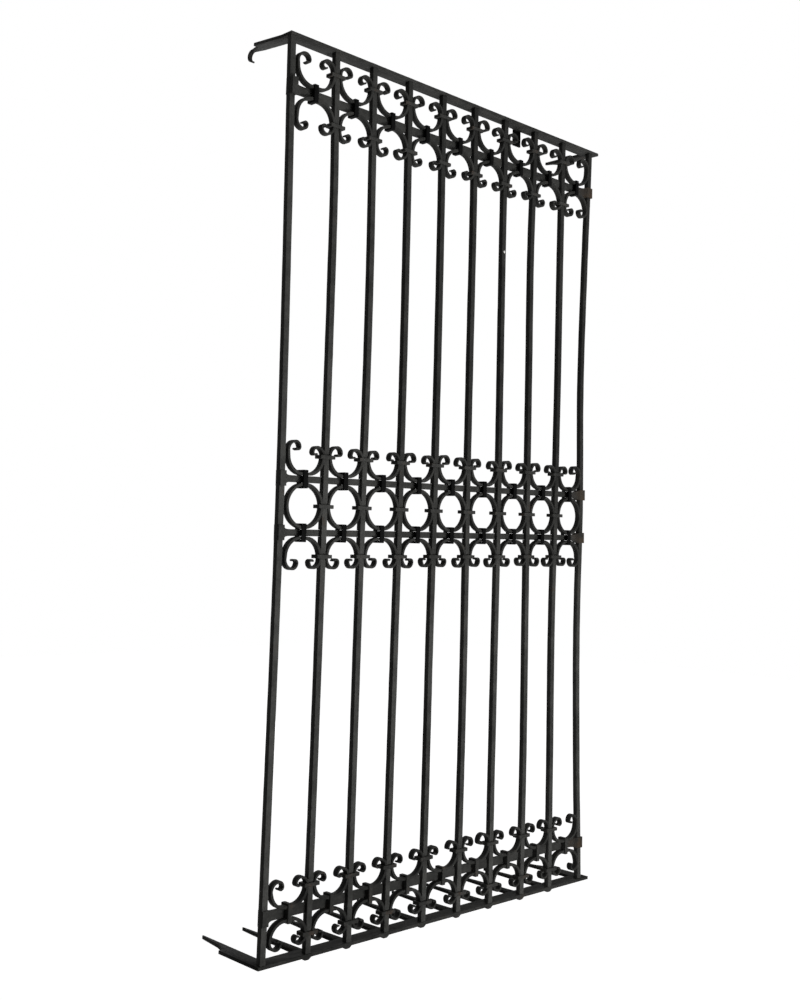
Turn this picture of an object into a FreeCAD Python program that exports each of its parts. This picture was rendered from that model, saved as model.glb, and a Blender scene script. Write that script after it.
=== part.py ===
"""Wrought iron window grille: upright bars between two flat rails, with scrolls and rings.

The grille stands in front of a wall face at Y = 0 and is seen from -Y.  X runs along the
rails with 0 midway between the marks of the end posts, Z is up with 0 at the underside of
the lower rail.
All sizes are in millimetres.
"""
import FreeCAD, Part
import math
import os

# driving dimensions
height = 2162.0            # underside of lower rail to top of upper rail
bar = 14.0                 # square section of the upright bars
bar_count = 10
first_bay = 136.0          # the left bay was set out wider than the rest
bay = 125.6                # spacing of the other bars, centre to centre
wall_gap = 140.0           # wall face to the middle of the bars
left_sway = (0.0, 1.0, 2.5, 1.5, -3.0, -9.5, -16.5)       # end posts off their marks,
right_sway = (8.0, -6.0, -14.0, -8.0, -13.5, -3.5, 10.0)  # at even steps from foot to head
leaning = {5: (3.0, -2.0), 7: (6.0, -7.0), 8: (-6.0, 7.0)}   # inner bars off theirs, foot and head

rail_width = 40.0          # flat rails lie with their width front to back
rail_thick = 8.0
rail_lip = 2.0             # front edge of a rail ahead of the bars
left_overhang = 6.0        # lower rail past the outer face of the left post
head_overhang = 1.0        # upper rail past it
right_overhang = 40.0      # both rails past the mark of the right post's outer face
tenon = 10.0               # square tenons through the rails
head_width = 24.0          # peened heads of the inner bars
head_low = 5.5             # thickness of the heads below the lower rail
head_high = 2.5            # and on top of the upper rail

leg_width = 36.0           # rail ends turned back to the wall
tang_width = 16.0          # tangs set in the wall
tang_tip = 4.0
tang_long = 110.0          # lower left corner
tang_mid = 75.0            # lower right corner
tang_short = 30.0          # upper right corner
leg_rise = 5.5             # degrees by which the upper left leg is bent up
hook_radius = 22.0         # its tang is hooked downwards
hook_turn = 190.0          # degrees
hook_thick = 5.0
hook_facets = 6
anchor_width = 16.0        # anchors behind the inner bars
anchor_tang = 100.0
lug_width = 31.0           # strap hanging behind the upper rail
lug_thick = 6.0
lug_drop = 45.0            # below the rail
lug_bay = 6                # bay it hangs in, counted from 0
lug_shift = 25.0           # to the right of the middle of that bay

cross_tall = 22.0          # top and bottom cross-bars
middle_tall = 16.0         # the pair in the middle
cross_thick = 8.0
cross_inset = 9.0          # front of a cross-bar behind the fronts of the bars
cross_drop = 133.0         # middle of the top cross-bar below the top of the upper rail
cross_middle = 970.5       # middle heights of the two lower cross-bars at the left post
cross_foot = 109.5
middle_rise = 14.0         # the middle pair climbs by this much towards the right post
eye_wall = 3.0             # iron before and behind the post at each end of a cross-bar
eye_left = 1.0             # and past the left post
eye_end = 9.0              # and past the right post
eye_tall = 30.0
flare = 24.0               # length over which an eye runs out into the bar

ribbon = 7.0               # scrolls and rings: thickness of the flat iron
ribbon_deep = 16.0
proud = 3.5                # how far they stand ahead of the bars
top_back = 49.0            # outside of a scroll's back, by row; a straight stretch fills out
middle_back = 47.0         # the width of the bay
bottom_back = 43.0
curl_radius = 24.0         # outside of the curl's first turn
eye_radius = 19.0          # outside of the curl's inner turn
top_flank = 5.5            # straight sides of the taller scrolls on the top cross-bar
first_gap = 6.0            # open strip between the left post and its scrolls
back_turns = (0.0, 30.0, 60.0, 90.0)      # directions of the facets, degrees from the back
curl_turns = (90.0, 150.0)
eye_turns = (150.0, 210.0, 270.0)
ring_tall = 109.0          # rings between the middle pair of cross-bars
ring_facets = 12

collar_wide = 12.0         # collars on the cross-bars, along the bar
collar_wall = 3.0          # front and back
collar_cap = 3.5           # above and below
clip_tall = 9.0            # collars on the upright bars
clip_wall = 3.0            # front and back
clip_cheek = 8.0           # sides

fit = 0.4                  # clearance between neighbouring pieces
eye_fit = 0.6              # clearance round the posts in the eyes

# derived positions
bar_x = [0.0] + [first_bay + bay * i for i in range(bar_count - 1)]
span = bar_x[-1]
bays = bar_count - 1
bar_front = -bar / 2
rail_front = bar_front - rail_lip
rail_back = rail_front + rail_width
cross_front = bar_front + cross_inset
cross_back = cross_front + cross_thick
ribbon_front = bar_front - proud
ribbon_back = ribbon_front + ribbon_deep
left_low = left_sway[0] - bar / 2 - left_overhang
left_high = left_sway[-1] - bar / 2 - head_overhang
right_end = span + bar / 2 + right_overhang
slope = middle_rise / span
ring_pitch = ring_tall + middle_tall + 2 * fit
side_facet = curl_radius * math.tan(math.radians((curl_turns[1] - curl_turns[0]) / 2))
to_frame = FreeCAD.Vector(-span / 2, -wall_gap, 0)

sways = {0: left_sway, **leaning, bar_count - 1: right_sway}
flanks = {"top": top_flank}
talls = {"top": cross_tall, "upper": middle_tall, "lower": middle_tall, "bottom": cross_tall}
backs = {"top": top_back, "upper": middle_back, "lower": middle_back, "bottom": bottom_back}

rows = {
    "top": (height - cross_drop, 0.0),
    "upper": (cross_middle + ring_pitch, slope),
    "lower": (cross_middle, slope),
    "bottom": (cross_foot, 0.0),
}


def box(x0, x1, y0, y1, z0, z1):
    """Box between two opposite corners."""
    return Part.makeBox(x1 - x0, y1 - y0, z1 - z0, FreeCAD.Vector(x0, y0, z0))


def prism(points, axis, start, length):
    """Extrude a closed outline given in the two other axes along X, Y or Z."""
    if axis == "X":
        corners = [FreeCAD.Vector(start, a, b) for a, b in points]
        way = FreeCAD.Vector(length, 0, 0)
    elif axis == "Y":
        corners = [FreeCAD.Vector(a, start, b) for a, b in points]
        way = FreeCAD.Vector(0, length, 0)
    else:
        corners = [FreeCAD.Vector(a, b, start) for a, b in points]
        way = FreeCAD.Vector(0, 0, length)
    face = Part.Face(Part.makePolygon(corners + corners[:1]))
    return face.extrude(way)


def bar_line(index):
    """Corners of a bar's middle line from foot to head, as (X, Z)."""
    offsets = sways.get(index, (0.0, 0.0))
    step = height / (len(offsets) - 1)
    return [(bar_x[index] + offset, i * step) for i, offset in enumerate(offsets)]


def bar_at(index, z):
    """Middle of a bar at a height."""
    line = bar_line(index)
    for (x0, z0), (x1, z1) in zip(line, line[1:]):
        if z <= z1:
            break
    return x0 + (x1 - x0) * (z - z0) / (z1 - z0)


def row_z(row, x):
    """Middle height of a cross-bar at a distance from the left post."""
    z, rise = rows[row]
    return z + rise * x


def seat(row):
    """Backs of the scrolls or rings, and edges of the notches, off the middle of a cross-bar."""
    return talls[row] / 2 + fit


def bay_span(index, z, reach):
    """Middle and half width of the clear space in a bay, over a reach above and below a height."""
    left = max(bar_at(index, level) for level in (z - reach, z + reach)) + bar / 2
    right = min(bar_at(index + 1, level) for level in (z - reach, z + reach)) - bar / 2
    if index == 0:
        left += first_gap
    return (left + right) / 2, (right - left) / 2 - fit


# rails and anchors
def leg_outline(outer, inward, tang):
    """Outline of a rail end turned back: outer edge at X = outer, inward is +1 or -1."""
    inner = outer + inward * leg_width
    root = inner - inward * tang_width
    tip = inner - inward * tang_tip
    return [(outer, rail_back), (outer, wall_gap), (root, wall_gap), (tip, wall_gap + tang),
            (inner, wall_gap + tang), (inner, rail_back)]


def rail(left, low_z, tenon_x):
    """Flat rail without its legs, with a square hole for each tenon."""
    body = box(left, right_end, rail_front, rail_back, low_z, low_z + rail_thick)
    hole = tenon / 2 + fit
    cuts = [box(x - hole, x + hole, -hole, hole, low_z, low_z + rail_thick) for x in tenon_x]
    return body.cut(Part.makeCompound(cuts))


def lower_rail():
    """Lower rail with both ends turned back level."""
    body = rail(left_low, 0.0, [bar_at(i, 0.0) for i in range(bar_count)])
    left = prism(leg_outline(left_low, 1, tang_long), "Z", 0.0, rail_thick)
    right = prism(leg_outline(right_end, -1, tang_mid), "Z", 0.0, rail_thick)
    return body.fuse([left, right]).removeSplitter()


def hooked_leg(z):
    """Upper left leg: bent up a little, its tang hooked downwards."""
    inner = left_high + leg_width
    leg = box(left_high, inner, rail_back, wall_gap, z, z + rail_thick)
    centre_z = z + rail_thick / 2 - hook_radius
    outer = []
    inside = []
    for step in range(hook_facets + 1):
        angle = math.radians(90.0 - hook_turn * step / hook_facets)
        for line, radius in ((outer, hook_radius + hook_thick / 2), (inside, hook_radius - hook_thick / 2)):
            line.append((wall_gap + radius * math.cos(angle), centre_z + radius * math.sin(angle)))
    hook = prism(outer + inside[::-1], "X", inner - tang_width, tang_width)
    whole = leg.fuse(hook)
    whole.rotate(FreeCAD.Vector(0, rail_back, z), FreeCAD.Vector(1, 0, 0), leg_rise)
    return whole


def upper_rail():
    """Upper rail: right end turned back level, left end bent up with a hooked tang."""
    z = height - rail_thick
    body = rail(left_high, z, [bar_at(i, height) for i in range(bar_count)])
    right = prism(leg_outline(right_end, -1, tang_short), "Z", z, rail_thick)
    return body.fuse([right, hooked_leg(z)]).removeSplitter()


def anchor(x):
    """Anchor behind an inner bar: butted to the lower rail, pointed where it enters the wall."""
    half = anchor_width / 2
    tip = tang_tip / 2
    end = wall_gap + anchor_tang
    outline = [(x - half, rail_back), (x + half, rail_back), (x + half, wall_gap), (x + tip, end),
               (x - tip, end), (x - half, wall_gap)]
    return prism(outline, "Z", 0.0, rail_thick)


def lug():
    """Strap hanging from the back edge of the upper rail."""
    middle = (bar_x[lug_bay] + bar_x[lug_bay + 1]) / 2 + lug_shift
    low = height - rail_thick - lug_drop
    return box(middle - lug_width / 2, middle + lug_width / 2, rail_back, rail_back + lug_thick, low, height)


# uprights and cross-bars
def tenons(index):
    """Square tenons of a bar through both rails."""
    half = tenon / 2
    found = []
    for x, low_z in ((bar_at(index, 0.0), 0.0), (bar_at(index, height), height - rail_thick)):
        found.append(box(x - half, x + half, -half, half, low_z, low_z + rail_thick))
    return found


def upright(index):
    """Square bar from rail to rail along its middle line, with its tenons."""
    half = bar / 2
    levels = [rail_thick] + [z for x, z in bar_line(index)[1:-1]] + [height - rail_thick]
    line = [(bar_at(index, z), z) for z in levels]
    outline = [(x - half, z) for x, z in line] + [(x + half, z) for x, z in line[::-1]]
    return prism(outline, "Y", -half, bar).fuse(tenons(index)).removeSplitter()


def inner_bar(index):
    """Upright bar, notched at the back where the cross-bars are let in."""
    notches = []
    for row in rows:
        z = row_z(row, bar_x[index])
        x = bar_at(index, z)
        reach = seat(row)
        notches.append(box(x - bar, x + bar, cross_front - fit, bar / 2, z - reach, z + reach))
    return upright(index).cut(Part.makeCompound(notches))


def heads(z, thick, way):
    """Peened heads on the outside of a rail, one for each inner bar."""
    found = []
    for index in range(1, bar_count - 1):
        x = bar_at(index, z)
        half = head_width / 2
        crown = half - thick
        outline = [(x - half, z), (x + half, z), (x + crown, z + way * thick), (x - crown, z + way * thick)]
        found.append(prism(outline, "Y", rail_front + rail_lip, bar))
    return Part.makeCompound(found)


def flared(ends, wide, low, high):
    """Outline of a cross-bar in plan or elevation: wide at its eyes, slim between them."""
    near = list(zip(ends, (-wide, -wide, low, low, -wide, -wide)))
    far = list(zip(ends, (wide, wide, high, high, wide, wide)))
    return near + far[::-1]


def cross_bar(row):
    """Cross-bar with an eye round each end post, where its plan and its elevation meet."""
    z, rise = rows[row]
    low_x = bar_at(0, z)
    high_x = bar_at(bar_count - 1, row_z(row, span))
    hole = bar / 2 + eye_fit
    side = hole + eye_wall
    tall = eye_tall / 2
    ends = (low_x - hole - eye_left, low_x + side, low_x + side + flare,
            high_x - side - flare, high_x - side, high_x + hole + eye_end)
    plan = prism(flared(ends, side, cross_front, cross_back), "Z", -tall, eye_tall)
    slim = talls[row] / 2
    elevation = prism(flared(ends, tall, -slim, slim), "Y", -side, 2 * side)
    holes = [box(x - hole, x + hole, -hole, hole, -tall, tall) for x in (low_x, high_x)]
    body = plan.common(elevation).cut(Part.makeCompound(holes))
    body.rotate(FreeCAD.Vector(0, 0, 0), FreeCAD.Vector(0, 1, 0), -math.degrees(math.atan(rise)))
    body.translate(FreeCAD.Vector(0, 0, z))
    return body


# scrolls, rings and collars
def toward(centre, distance, turn):
    """Point at a distance from a centre, in a direction in degrees from the back."""
    angle = math.radians(turn)
    return centre[0] - distance * math.sin(angle), centre[1] - distance * math.cos(angle)


def turn_points(centre, radius, turns):
    """Corners of facets that touch a circle at the given directions from the back."""
    found = []
    for a, b in zip(turns, turns[1:]):
        reach = radius / math.cos(math.radians((b - a) / 2))
        found.append(toward(centre, reach, (a + b) / 2))
    return found


def half_scroll(half, back, flank, inset):
    """Left half of a scroll's line from its back to the end of the curl, inset by a distance."""
    first = (back - half, back)
    second = (curl_radius - half, back + flank)
    third = toward(second, curl_radius - eye_radius, eye_turns[0])
    tip = 2 * eye_turns[-1] - eye_turns[-2]
    line = turn_points(first, back - inset, back_turns)
    line += turn_points(second, curl_radius - inset, curl_turns)
    return line + turn_points(third, eye_radius - inset, eye_turns + (tip,))


def widest(row, way, x):
    """Height at which the scrolls on one side of a cross-bar stand widest."""
    return row_z(row, x) + way * (seat(row) + backs[row] + flanks.get(row, 0.0) / 2)


def scroll(index, row, way):
    """C-scroll whose back lies on a cross-bar; way is +1 above the bar, -1 below it."""
    flank = flanks.get(row, 0.0)
    middle, half = bay_span(index, widest(row, way, bar_x[index]), side_facet + flank / 2)
    outer = half_scroll(half, backs[row], flank, 0.0)
    inner = half_scroll(half, backs[row], flank, ribbon)
    outline = [(-x, z) for x, z in outer[::-1]] + outer
    outline += inner[::-1] + [(-x, z) for x, z in inner]
    start = row_z(row, middle) + way * seat(row)
    return prism([(middle + x, start + way * z) for x, z in outline], "Y", ribbon_front, ribbon_deep)


def scroll_row(row, way):
    """One scroll in every bay, on the same side of a cross-bar."""
    return Part.makeCompound([scroll(i, row, way) for i in range(bays)])


def ring(index):
    """Ring between the middle pair of cross-bars."""
    middle, half = bay_span(index, ring_height(bar_x[index]), side_facet)
    centre_z = ring_height(middle)
    tall = ring_tall / 2
    step = 2 * math.pi / ring_facets
    reach = 1 / math.cos(step / 2)
    outlines = []
    for inset in (0.0, ribbon):
        corners = []
        for k in range(ring_facets):
            angle = (k + 0.5) * step
            corners.append((middle + (half - inset) * reach * math.cos(angle),
                            centre_z + (tall - inset) * reach * math.sin(angle)))
        outlines.append(prism(corners, "Y", ribbon_front, ribbon_deep))
    return outlines[0].cut(outlines[1])


def collar(index, row):
    """Collar round a cross-bar and the backs of the scrolls or ring on both sides of it."""
    middle = bay_span(index, row_z(row, bar_x[index]), side_facet)[0]
    z = row_z(row, middle)
    tall = seat(row) + ribbon + fit
    y0 = ribbon_front - fit
    y1 = cross_back + fit
    half = collar_wide / 2
    outside = box(middle - half, middle + half, y0 - collar_wall, y1 + collar_wall,
                  z - tall - collar_cap, z + tall + collar_cap)
    return outside.cut(box(middle - half, middle + half, y0, y1, z - tall, z + tall))


def clip(index, z):
    """Collar round an upright bar and the scroll or ring sides that touch it."""
    x = bar_at(index, z)
    side = bar / 2 + fit + ribbon + fit
    y0 = ribbon_front - fit
    y1 = max(ribbon_back, bar / 2) + fit
    low = z - clip_tall / 2
    high = z + clip_tall / 2
    outside = box(x - side - clip_cheek, x + side + clip_cheek, y0 - clip_wall, y1 + clip_wall, low, high)
    return outside.cut(box(x - side, x + side, y0, y1, low, high))


def ring_height(x):
    """Height of the middle of the rings at a distance from the left post."""
    return (row_z("upper", x) + row_z("lower", x)) / 2


def clip_row(heights):
    """Collars on all inner bars; heights gives the level at a distance from the left post."""
    return Part.makeCompound([clip(i, heights(bar_x[i])) for i in range(1, bar_count - 1)])


# nodes
def export(name, shape):
    """Write one node in the shared frame."""
    shape.translate(to_frame)
    shape.exportStep("parts/" + name + ".step")


def main():
    os.makedirs("parts", exist_ok=True)
    export("lower_rail", lower_rail())
    export("upper_rail", upper_rail())
    export("lug", lug())
    for i in range(bar_count):
        piece = upright(i) if i in (0, bar_count - 1) else inner_bar(i)
        export("bar_%02d" % (i + 1), piece)
    for i in range(1, bar_count - 1):
        export("anchor_%02d" % (i + 1), anchor(bar_at(i, 0.0)))
    export("heads_lower", heads(0.0, head_low, -1))
    export("heads_upper", heads(height, head_high, 1))
    for row in rows:
        export("cross_" + row, cross_bar(row))
        export("collars_" + row, Part.makeCompound([collar(i, row) for i in range(bays)]))
    export("rings", Part.makeCompound([ring(i) for i in range(bays)]))
    export("clips_rings", clip_row(ring_height))
    sides = (("top", 1, "top_above"), ("top", -1, "top_below"), ("upper", 1, "upper_above"),
             ("lower", -1, "lower_below"), ("bottom", 1, "bottom_above"), ("bottom", -1, "bottom_below"))
    for row, way, name in sides:
        export("scrolls_" + name, scroll_row(row, way))
        export("clips_" + name, clip_row(lambda x, r=row, w=way: widest(r, w, x)))


main()
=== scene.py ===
"""Looks of a wrought iron window grille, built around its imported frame.

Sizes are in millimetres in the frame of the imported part: X along the rails, Y into the wall,
Z up from the underside of the lower rail.  The helpers hand Blender metres.
"""
from __future__ import annotations

import logging
import math
import random
from contextlib import contextmanager
from dataclasses import dataclass, replace
from enum import Enum
from typing import Callable, Iterator, Sequence

import bmesh
import bpy
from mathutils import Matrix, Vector

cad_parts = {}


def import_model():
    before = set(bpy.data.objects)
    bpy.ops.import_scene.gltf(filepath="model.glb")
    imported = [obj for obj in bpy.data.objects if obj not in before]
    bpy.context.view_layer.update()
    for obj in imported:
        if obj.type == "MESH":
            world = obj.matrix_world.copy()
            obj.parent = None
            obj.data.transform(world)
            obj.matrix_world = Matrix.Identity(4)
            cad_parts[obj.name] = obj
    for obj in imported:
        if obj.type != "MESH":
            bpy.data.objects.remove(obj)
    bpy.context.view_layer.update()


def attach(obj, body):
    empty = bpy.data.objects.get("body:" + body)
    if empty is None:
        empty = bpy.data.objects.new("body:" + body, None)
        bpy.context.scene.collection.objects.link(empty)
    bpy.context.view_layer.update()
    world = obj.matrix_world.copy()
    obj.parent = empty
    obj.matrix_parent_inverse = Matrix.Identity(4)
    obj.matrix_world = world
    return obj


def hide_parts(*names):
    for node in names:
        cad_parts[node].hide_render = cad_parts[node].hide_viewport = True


LOG = logging.getLogger("grille")
MM = 0.001
BODY = "root"
Point = Sequence[float]
Pair = tuple[float, float]
Colour = tuple[float, float, float]
FaceTest = Callable[[bmesh.types.BMFace], bool]

# least share of a normal that counts as along an axis
ALONG = 0.9
# how close to a place a face lies to count as there, in millimetres
NEAR = 1.0
# points closer than this are one point, in millimetres
DOUBLES = 0.02


class Row(Enum):
    """The four cross-bars, by the name their frame nodes carry."""

    TOP = "top"
    UPPER = "upper"
    LOWER = "lower"
    BOTTOM = "bottom"


class Way(Enum):
    """Side of a cross-bar on which a scroll stands."""

    ABOVE = 1
    BELOW = -1


class Axis(Enum):
    """Direction that the opening of a collar runs in."""

    X = 0
    Z = 2


# modelling helpers


def metres(point: Point) -> tuple[float, ...]:
    """Millimetres to metres."""
    return tuple(value * MM for value in point)


def clear_selection() -> None:
    """Leave edit mode and deselect every object."""
    active = bpy.context.view_layer.objects.active
    if active is not None and active.mode != "OBJECT":
        bpy.ops.object.mode_set(mode="OBJECT")
    bpy.ops.object.select_all(action="DESELECT")


def pick(piece: bpy.types.Object) -> None:
    """Make one object the only selected and active one.

    Args:
        piece: the object.
    """
    clear_selection()
    piece.select_set(True)
    bpy.context.view_layer.objects.active = piece


@contextmanager
def editing(piece: bpy.types.Object) -> Iterator[None]:
    """Work on an object in edit mode with face selection.

    Args:
        piece: the object to edit.
    """
    pick(piece)
    bpy.ops.object.mode_set(mode="EDIT")
    bpy.ops.mesh.select_mode(type="FACE")
    yield
    bpy.ops.object.mode_set(mode="OBJECT")


def select_faces(piece: bpy.types.Object, test: FaceTest) -> None:
    """Select the faces of an object in edit mode that pass a test.

    Args:
        piece: the object being edited.
        test: says whether a face belongs to the selection.
    """
    bpy.ops.mesh.select_all(action="DESELECT")
    shape = bmesh.from_edit_mesh(piece.data)
    for face in shape.faces:
        if test(face):
            face.select_set(True)
    bmesh.update_edit_mesh(piece.data)


def facing(axis: int, sign: int) -> FaceTest:
    """Test for faces whose normal points along an axis."""
    return lambda face: face.normal[axis] * sign > ALONG


def facing_near(axis: int, sign: int, other: int, low: float, high: float) -> FaceTest:
    """Test for faces along an axis whose middle lies between two places on another axis.

    Args:
        axis: axis of the normal.
        sign: +1 or -1 along it.
        other: axis on which the middle of the face is measured.
        low: lowest place of the middle, in millimetres.
        high: highest place of the middle, in millimetres.

    Returns:
        The test for select_faces.
    """
    along = facing(axis, sign)
    return lambda face: along(face) and low * MM < face.calc_center_median()[other] < high * MM


def facing_at(axis: int, sign: int, place: float) -> FaceTest:
    """Test for faces along an axis that lie at a place on it."""
    return facing_near(axis, sign, axis, place - NEAR, place + NEAR)


def settle() -> None:
    """Put the place, turn and scale of the selected object in its mesh."""
    bpy.ops.object.transform_apply(location=True, rotation=True, scale=True)


def add_block(name: str, low: Point, high: Point) -> bpy.types.Object:
    """Add a cube at its size and place.

    Args:
        name: name of the new object.
        low: lowest corner.
        high: highest corner.

    Returns:
        The new object, with its place in its mesh.
    """
    clear_selection()
    size = [b - a for a, b in zip(low, high)]
    middle = [(a + b) / 2 for a, b in zip(low, high)]
    bpy.ops.mesh.primitive_cube_add(size=1.0, location=metres(middle), scale=metres(size))
    block = bpy.context.object
    block.name = block.data.name = name
    settle()
    return block


def cut_at(axis: int, place: float) -> None:
    """Divide the mesh being edited across an axis, without removing anything.

    Args:
        axis: the axis.
        place: where on it the mesh is divided.
    """
    bpy.ops.mesh.select_all(action="SELECT")
    normal = [0.0, 0.0, 0.0]
    normal[axis] = 1.0
    bpy.ops.mesh.bisect(plane_co=[value * place * MM for value in normal], plane_no=normal)


def extrude(move: Point) -> None:
    """Extrude the selected faces by a distance."""
    bpy.ops.mesh.extrude_region_move(TRANSFORM_OT_translate={"value": metres(move)})


def resize(scale: Point, centre: Point) -> None:
    """Scale the selected faces about a point."""
    bpy.ops.transform.resize(value=scale, center_override=metres(centre))


def turn(steps: int, degrees: float, centre: Point, axis: Point) -> None:
    """Sweep the selected face round an axis."""
    bpy.ops.mesh.spin(steps=steps, angle=math.radians(degrees), center=metres(centre), axis=axis)


def roughen(offset: float, normal: float, seed: int) -> None:
    """Move all points of the mesh being edited a little, the same way on each run."""
    bpy.ops.mesh.select_all(action="SELECT")
    bpy.ops.transform.vertex_random(offset=offset * MM, uniform=0.0, normal=normal, seed=seed)


def subtract(piece: bpy.types.Object, cutters: list[bpy.types.Object]) -> None:
    """Cut blocks out of an object and remove them.

    Args:
        piece: the object to cut.
        cutters: blocks that don't touch one another.
    """
    cutter = join(cutters, "cutter")
    pick(piece)
    tool = piece.modifiers.new("cut", "BOOLEAN")
    tool.operation = "DIFFERENCE"
    tool.solver = "EXACT"
    tool.object = cutter
    bpy.ops.object.modifier_apply(modifier=tool.name)
    bpy.data.objects.remove(cutter, do_unlink=True)


def soften(piece: bpy.types.Object, width: float, segments: int = 2, limit: float = 40.0) -> None:
    """Round the sharp edges of an object and shade it smooth between them.

    Args:
        piece: the object to finish.
        width: width of the rounding.
        segments: faces across the rounding.
        limit: least angle of an edge that counts as sharp, in degrees.
    """
    pick(piece)
    tool = piece.modifiers.new("soften", "BEVEL")
    tool.width = width * MM
    tool.segments = segments
    tool.limit_method = "ANGLE"
    tool.angle_limit = math.radians(limit)
    tool.use_clamp_overlap = True
    bpy.ops.object.modifier_apply(modifier=tool.name)
    bpy.ops.object.shade_smooth_by_angle(angle=math.radians(limit))


def soften_round(piece: bpy.types.Object, width: float) -> None:
    """Round the edges of a piece whose faces curve."""
    soften(piece, width, segments=3, limit=50.0)


def outwards(piece: bpy.types.Object) -> None:
    """Merge doubles and point all faces outwards.

    Args:
        piece: the object to mend.
    """
    with editing(piece):
        bpy.ops.mesh.select_all(action="SELECT")
        bpy.ops.mesh.remove_doubles(threshold=DOUBLES * MM)
        bpy.ops.mesh.normals_make_consistent(inside=False)


def copy_to(piece: bpy.types.Object, move: Point, degrees: float = 0.0) -> bpy.types.Object:
    """Copy an object with its own mesh, turn it about Y and put it in its place.

    Args:
        piece: the object to copy, modelled round the origin.
        move: where the copy goes.
        degrees: turn about the Y axis.

    Returns:
        The copy, with its place in its mesh.
    """
    pick(piece)
    bpy.ops.object.duplicate(linked=False)
    twin = bpy.context.object
    twin.rotation_euler[1] = math.radians(degrees)
    twin.location = metres(move)
    settle()
    return twin


def join(pieces: list[bpy.types.Object], name: str) -> bpy.types.Object:
    """Join objects into one and name it.

    Args:
        pieces: the objects.
        name: name of the whole.

    Returns:
        The whole.
    """
    pick(pieces[0])
    for piece in pieces[1:]:
        piece.select_set(True)
    if len(pieces) > 1:
        bpy.ops.object.join()
    whole = bpy.context.object
    whole.name = whole.data.name = name
    return whole


def drop(*pieces: bpy.types.Object) -> None:
    """Remove the models that copies were made from."""
    for piece in pieces:
        bpy.data.objects.remove(piece, do_unlink=True)


# finishes

NOISE_ROUGHNESS = 0.55
DISH_SMOOTHNESS = 0.65


@dataclass(frozen=True)
class Wiring:
    """Adds the nodes that the finishes and the studio share to a node tree."""

    tree: bpy.types.NodeTree

    def feed(self, target: bpy.types.NodeSocket, value: object) -> None:
        """Link a socket to an input, or set the input to a plain value.

        Args:
            target: the input.
            value: a socket, a number or a colour.
        """
        if isinstance(value, bpy.types.NodeSocket):
            self.tree.links.new(value, target)
        else:
            target.default_value = value

    def add(self, kind: str, inputs: dict[str | int, object], **choices: str) -> bpy.types.Node:
        """Add a node.

        Args:
            kind: its type, without the leading ShaderNode.
            inputs: what goes into its inputs, by their name or number.
            choices: its settings.

        Returns:
            The node.
        """
        node = self.tree.nodes.new("ShaderNode" + kind)
        for name, choice in choices.items():
            setattr(node, name, choice)
        for key, value in inputs.items():
            self.feed(node.inputs[key], value)
        return node

    def place(self) -> bpy.types.NodeSocket:
        """Place on a piece, in metres of the frame."""
        return self.add("TexCoord", {}).outputs["Object"]

    def axis(self, place: bpy.types.NodeSocket, name: str) -> bpy.types.NodeSocket:
        """One coordinate of a place."""
        return self.add("SeparateXYZ", {0: place}).outputs[name]

    def math(self, operation: str, *values: object) -> bpy.types.NodeSocket:
        """Result of an operation on sockets and numbers."""
        return self.add("Math", dict(enumerate(values)), operation=operation).outputs[0]

    def noise(self, place: bpy.types.NodeSocket, scale: float, detail: float) -> bpy.types.NodeSocket:
        """Noise of a scale, in marks per metre."""
        inputs = {"Vector": place, "Scale": scale, "Detail": detail, "Roughness": NOISE_ROUGHNESS}
        return self.add("TexNoise", inputs).outputs["Fac"]

    def dishes(self, place: bpy.types.NodeSocket, scale: float) -> bpy.types.NodeSocket:
        """Shallow dishes left by the hammer, so many per metre."""
        inputs = {"Vector": place, "Scale": scale, "Smoothness": DISH_SMOOTHNESS}
        return self.add("TexVoronoi", inputs, feature="SMOOTH_F1").outputs["Distance"]

    def total(self, sockets: Sequence[bpy.types.NodeSocket],
              weights: Sequence[float]) -> bpy.types.NodeSocket:
        """Weighted sum of sockets.

        Args:
            sockets: what is added up.
            weights: the weight of each.

        Returns:
            The sum.
        """
        result = 0.0
        for socket, weight in zip(sockets, weights):
            result = self.math("MULTIPLY_ADD", socket, weight, result)
        return result

    def ramp(self, value: bpy.types.NodeSocket, start: float, full: float) -> bpy.types.NodeSocket:
        """Smooth step of a socket from 0 at one value to 1 at another."""
        inputs = {"Value": value, "From Min": start, "From Max": full}
        return self.add("MapRange", inputs, interpolation_type="SMOOTHSTEP").outputs["Result"]

    def between(self, value: bpy.types.NodeSocket, low: float, high: float) -> bpy.types.NodeSocket:
        """Straight run from one number to another as a socket goes from 0 to 1."""
        return self.add("MapRange", {"Value": value, "To Min": low, "To Max": high}).outputs["Result"]

    def blend(self, factor: bpy.types.NodeSocket, first: object, second: object,
              kind: str = "MIX") -> bpy.types.NodeSocket:
        """Mix two colours, each a socket or a constant.

        Args:
            factor: 0 for the first colour, 1 for the second.
            first: the first colour.
            second: the second colour.
            kind: how they are mixed.

        Returns:
            The mixed colour.
        """
        node = self.add("Mix", {"Factor": factor}, data_type="RGBA", blend_type=kind)
        for name, colour in (("A", first), ("B", second)):
            socket = next(s for s in node.inputs if s.name == name and s.type == "RGBA")
            linked = isinstance(colour, bpy.types.NodeSocket)
            self.feed(socket, colour if linked else (*colour, 1.0))
        return next(s for s in node.outputs if s.type == "RGBA")

    def seen(self) -> bpy.types.NodeSocket:
        """Socket that is 1 for what the camera sees, straight or mirrored or through glass."""
        rays = self.add("LightPath", {})
        total = rays.outputs["Is Camera Ray"]
        for name in ("Is Glossy Ray", "Is Transmission Ray"):
            total = self.math("MAXIMUM", total, rays.outputs[name])
        return total


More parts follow.
